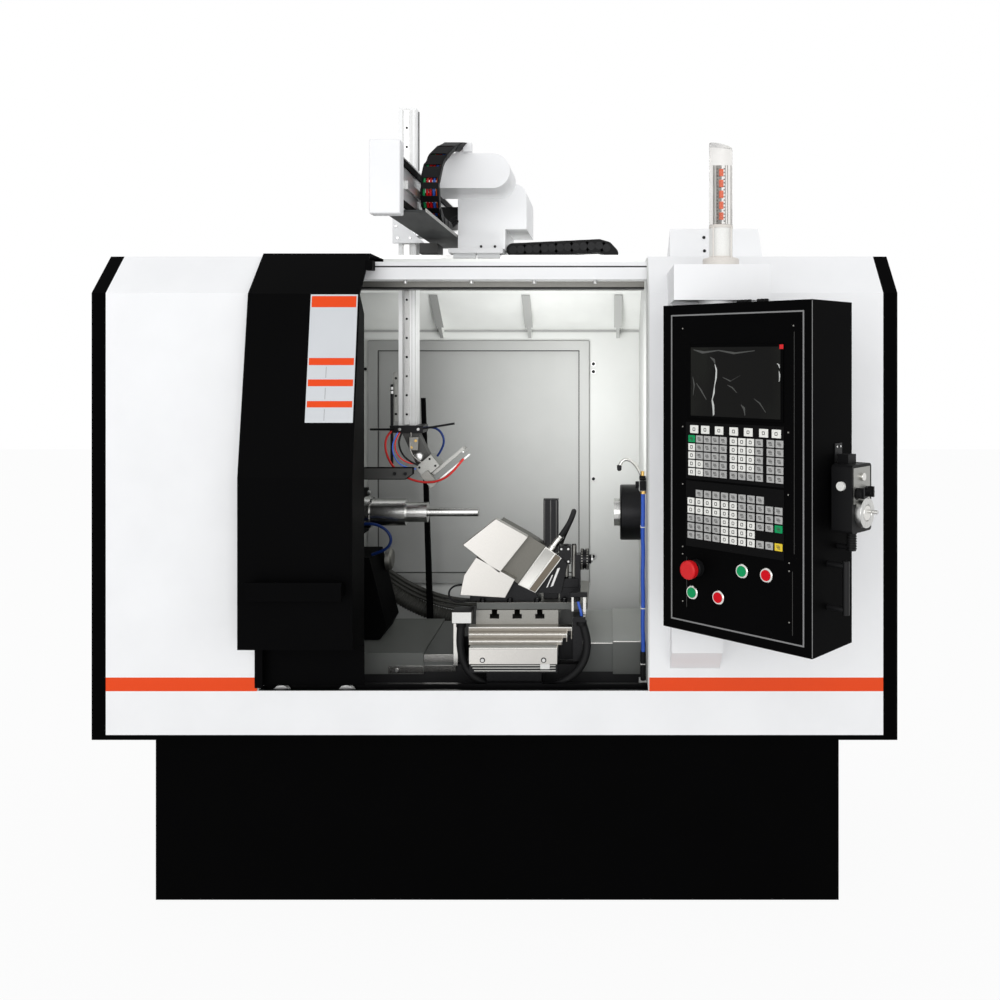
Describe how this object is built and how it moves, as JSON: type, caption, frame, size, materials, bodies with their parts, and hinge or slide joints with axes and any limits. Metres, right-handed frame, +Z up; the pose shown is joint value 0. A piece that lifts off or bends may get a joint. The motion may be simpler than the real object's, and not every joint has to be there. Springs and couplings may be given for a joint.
{
  "type": "lathe",
  "caption": "White enclosed CNC spinning lathe on a black base, with sliding guard door, spindle, live press head, cross-slide tool, roof gantry loader and swinging control pendant.",
  "frame": {"origin": "centre of the base's underside, on the floor", "axes": "+X to the right along the spindle, +Y to the back, +Z up"},
  "size_m": [1.934, 1.3499, 2.015],
  "materials": {
    "aluminium": "satin",
    "black_paint": "satin",
    "black_plastic": "matte",
    "blue_hose": "satin",
    "clear_lens": "gloss",
    "green_plastic": "gloss",
    "grey_paint": "satin",
    "iron": "matte",
    "panel_grey": "satin",
    "red_plastic": "gloss",
    "rubber": "matte",
    "steel": "satin",
    "white_paint": "satin"
  },
  "bodies": {
    "machine_frame": {"base_frame": "black_paint", "end_covers": "black_paint", "cabinet_skins": "white_paint", "front_sill": "white_paint", "chamber_walls": "grey_paint", "inspection_cover": "grey_paint", "door_beam": "grey_paint", "loader_beams": "grey_paint", "guide_rails": "steel", "bed": "iron", "bed_covers": "grey_paint", "headstock": "black_paint", "spindle_motor": "black_paint", "drive_belt": "rubber", "tail_sleeve": "steel", "pendant_support": "white_paint", "signal_lamp": "clear_lens", "machine_hoses": "blue_hose"},
    "door": {"door_panel": "white_paint", "door_handle": "black_plastic"},
    "door_roller_left": {"door_roller_left": "steel"},
    "door_roller_right": {"door_roller_right": "steel"},
    "spindle": {"spindle": "steel", "mandrel": "steel", "spindle_pulley": "steel"},
    "motor_pulley": {"motor_pulley": "steel"},
    "tail_quill": {"tail_quill": "black_paint"},
    "live_nose": {"live_nose": "steel"},
    "saddle": {"saddle": "grey_paint", "saddle_covers": "grey_paint", "tool_hoses": "rubber"},
    "cross_slide": {"slot_table": "steel", "step_cover_rear": "steel", "tool_block": "aluminium", "roller_bracket": "black_plastic"},
    "step_cover_low": {"step_cover_low": "steel"},
    "step_cover_high": {"step_cover_high": "steel"},
    "forming_roller": {"forming_roller": "steel"},
    "loader_carriage": {"loader_carriage": "grey_paint", "loader_covers": "white_paint", "cable_chains": "black_plastic"},
    "cross_beam": {"cross_beam": "black_paint"},
    "ram": {"ram": "aluminium", "gripper": "black_paint", "ram_hoses": "red_plastic"},
    "jaw_front": {"jaw_front": "steel"},
    "jaw_rear": {"jaw_rear": "steel"},
    "pendant": {"pendant_box": "white_paint", "control_panels": "panel_grey", "pendant_handle": "black_plastic", "pulse_unit": "black_plastic"},
    "stop_button": {"stop_button": "red_plastic"},
    "green_button_upper": {"green_button_upper": "green_plastic"},
    "green_button_lower": {"green_button_lower": "green_plastic"},
    "red_button_upper": {"red_button_upper": "red_plastic"},
    "red_button_lower": {"red_button_lower": "red_plastic"},
    "pulse_dial": {"pulse_dial": "steel"},
    "pulse_knob_axis": {"pulse_knob_axis": "black_plastic"},
    "pulse_knob_step": {"pulse_knob_step": "black_plastic"},
    "pulse_button": {"pulse_button": "panel_grey"}
  },
  "joints": [
    {"name": "door_slide", "type": "slide", "parent": "machine_frame", "child": "door", "axis": [1, 0, 0], "range_m": [0, 0.66]},
    {"name": "door_roller_left_spin", "type": "hinge", "parent": "door", "child": "door_roller_left", "pos_m": [-0.521, -0.437, 0.5163], "axis": [0, 1, 0], "continuous": true},
    {"name": "door_roller_right_spin", "type": "hinge", "parent": "door", "child": "door_roller_right", "pos_m": [-0.363, -0.437, 0.5163], "axis": [0, 1, 0], "continuous": true},
    {"name": "spindle_spin", "type": "hinge", "parent": "machine_frame", "child": "spindle", "pos_m": [-0.5, -0.12, 0.91], "axis": [1, 0, 0], "continuous": true},
    {"name": "motor_spin", "type": "hinge", "parent": "machine_frame", "child": "motor_pulley", "pos_m": [-0.72, -0.12, 0.62], "axis": [1, 0, 0], "continuous": true},
    {"name": "quill_slide", "type": "slide", "parent": "machine_frame", "child": "tail_quill", "axis": [1, 0, 0], "range_m": [-0.25, 0]},
    {"name": "live_nose_spin", "type": "hinge", "parent": "tail_quill", "child": "live_nose", "pos_m": [0.3, -0.12, 0.91], "axis": [1, 0, 0], "continuous": true},
    {"name": "saddle_slide", "type": "slide", "parent": "machine_frame", "child": "saddle", "axis": [1, 0, 0], "range_m": [-0.08, 0.08]},
    {"name": "cross_feed", "type": "slide", "parent": "saddle", "child": "cross_slide", "axis": [0, 1, 0], "range_m": [-0.02, 0.1]},
    {"name": "step_cover_low_slide", "type": "slide", "parent": "saddle", "child": "step_cover_low", "axis": [0, 1, 0], "range_m": [-0.03, 0.11]},
    {"name": "step_cover_high_slide", "type": "slide", "parent": "saddle", "child": "step_cover_high", "axis": [0, 1, 0], "range_m": [-0.03, 0.11]},
    {"name": "forming_roller_spin", "type": "hinge", "parent": "cross_slide", "child": "forming_roller", "pos_m": [0.212, -0.262, 0.809], "axis": [1, 0, 0], "continuous": true},
    {"name": "loader_travel", "type": "slide", "parent": "machine_frame", "child": "loader_carriage", "axis": [1, 0, 0], "range_m": [0, 0.2]},
    {"name": "beam_travel", "type": "slide", "parent": "loader_carriage", "child": "cross_beam", "axis": [0, 1, 0], "range_m": [0, 0.1]},
    {"name": "ram_lift", "type": "slide", "parent": "cross_beam", "child": "ram", "axis": [0, 0, 1], "range_m": [0, 0.3]},
    {"name": "jaw_front_slide", "type": "slide", "parent": "ram", "child": "jaw_front", "axis": [0, -1, 0], "range_m": [0, 0.008]},
    {"name": "jaw_rear_slide", "type": "slide", "parent": "ram", "child": "jaw_rear", "axis": [0, 1, 0], "range_m": [0, 0.008]},
    {"name": "pendant_swing", "type": "hinge", "parent": "machine_frame", "child": "pendant", "pos_m": [0.513, -0.645, 1.447], "axis": [0, 0, 1], "range_deg": [-15, 42]},
    {"name": "stop_press", "type": "slide", "parent": "pendant", "child": "stop_button", "axis": [0.6691, 0.7431, 0], "range_m": [0, 0.005], "stiffness_N_per_m": 400},
    {"name": "green_press_upper", "type": "slide", "parent": "pendant", "child": "green_button_upper", "axis": [0.6691, 0.7431, 0], "range_m": [0, 0.004], "stiffness_N_per_m": 400},
    {"name": "red_press_upper", "type": "slide", "parent": "pendant", "child": "red_button_upper", "axis": [0.6691, 0.7431, 0], "range_m": [0, 0.004], "stiffness_N_per_m": 400},
    {"name": "green_press_lower", "type": "slide", "parent": "pendant", "child": "green_button_lower", "axis": [0.6691, 0.7431, 0], "range_m": [0, 0.004], "stiffness_N_per_m": 400},
    {"name": "red_press_lower", "type": "slide", "parent": "pendant", "child": "red_button_lower", "axis": [0.6691, 0.7431, 0], "range_m": [0, 0.004], "stiffness_N_per_m": 400},
    {"name": "pulse_dial_spin", "type": "hinge", "parent": "pendant", "child": "pulse_dial", "pos_m": [0.78046, -0.88441, 1.025], "axis": [0.7431, -0.6691, 0], "continuous": true},
    {"name": "pulse_knob_axis_turn", "type": "hinge", "parent": "pendant", "child": "pulse_knob_axis", "pos_m": [0.76708, -0.89928, 1.064], "axis": [0.7431, -0.6691, 0], "range_deg": [-60, 60]},
    {"name": "pulse_knob_step_turn", "type": "hinge", "parent": "pendant", "child": "pulse_knob_step", "pos_m": [0.79385, -0.86955, 1.064], "axis": [0.7431, -0.6691, 0], "range_deg": [-60, 60]},
    {"name": "pulse_button_press", "type": "slide", "parent": "pendant", "child": "pulse_button", "axis": [0.6691, 0.7431, 0], "range_m": [0, 0.004], "stiffness_N_per_m": 400}
  ],
  "couplings": [
    {"joint": "door_roller_left_spin", "follows": "door_slide", "rad_per_m": 45.455},
    {"joint": "door_roller_right_spin", "follows": "door_slide", "rad_per_m": 45.455},
    {"joint": "motor_spin", "follows": "spindle_spin", "ratio": 1.5},
    {"joint": "step_cover_low_slide", "follows": "cross_feed", "ratio": 0.3333},
    {"joint": "step_cover_high_slide", "follows": "cross_feed", "ratio": 0.6667},
    {"joint": "jaw_rear_slide", "follows": "jaw_front_slide", "ratio": 1}
  ]
}
